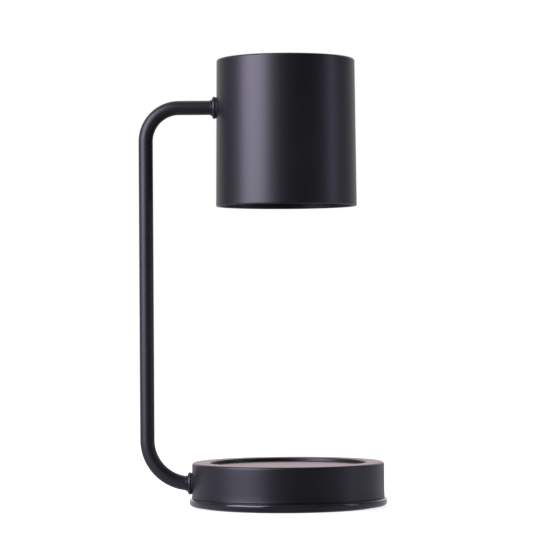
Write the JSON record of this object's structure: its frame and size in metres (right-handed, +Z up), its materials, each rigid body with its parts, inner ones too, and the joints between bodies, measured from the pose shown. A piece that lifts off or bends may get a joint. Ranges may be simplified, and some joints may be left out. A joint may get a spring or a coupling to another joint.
{
  "type": "candle warmer lamp",
  "caption": "Candle warmer lamp: a drawn shade with a reflector bulb on a bent tube arm over a weighted round base with a dished top for a jar candle.",
  "frame": {"origin": "centre of the base's underside, on the table", "axes": "+Z up along the base and shade's axis, the arm's upright on the -X side, +Y to the back"},
  "size_m": [0.1717, 0.138, 0.312],
  "materials": {
    "black_paint": "satin powder coat, black",
    "black_moulding": "satin moulded plastic, black",
    "black_rubber": "matte black rubber and foam",
    "cast_weight": "rough cast, dull grey",
    "zinc_steel": "zinc plated",
    "brass": "plain brass",
    "white_ceramic": "unglazed ceramic",
    "terminal_plastic": "translucent white plastic",
    "lead_brown": "brown heat-proof sleeve",
    "lead_blue": "blue heat-proof sleeve",
    "reflector_metal": "bright coated glass bowl",
    "clear_glass": "clear glass",
    "pin_metal": "nickel plated"
  },
  "bodies": {
    "lamp": {"anti_slip_pad": "black_rubber", "base_cover": "black_moulding", "base_housing": "black_paint", "housing_posts": "zinc_steel", "cover_screws": "zinc_steel", "counterweight": "cast_weight", "counterweight_screws": "zinc_steel", "cord_inlet_bush": "black_rubber", "terminal_block": "terminal_plastic", "terminal_inserts": "brass", "terminal_clamp_screws": "zinc_steel", "terminal_block_screw": "zinc_steel", "arm_tube": "black_paint", "base_collar": "black_paint", "base_gasket": "black_rubber", "base_lock_washer": "zinc_steel", "base_arm_nut": "zinc_steel", "base_tube_bush": "black_rubber", "shade_collar": "black_paint", "shade_gasket": "black_rubber", "shade_lock_washer": "zinc_steel", "shade_arm_nut": "zinc_steel", "shade_tube_bush": "black_rubber", "lead_live": "lead_brown", "lead_neutral": "lead_blue", "shade": "black_paint", "holder_bracket": "zinc_steel", "holder_cap": "white_ceramic", "holder_body": "white_ceramic", "holder_contacts": "brass", "holder_screws": "zinc_steel"},
    "bulb": {"bulb_base": "white_ceramic", "bulb_pins": "pin_metal", "bulb_reflector": "reflector_metal", "bulb_burner": "clear_glass", "bulb_lens": "clear_glass"}
  },
  "joints": [
    {"name": "bulb_twist", "type": "hinge", "parent": "lamp", "child": "bulb", "pos_m": [0, 0, 0.2717], "axis": [0, 0, 1], "range_deg": [-50, 0]}
  ]
}
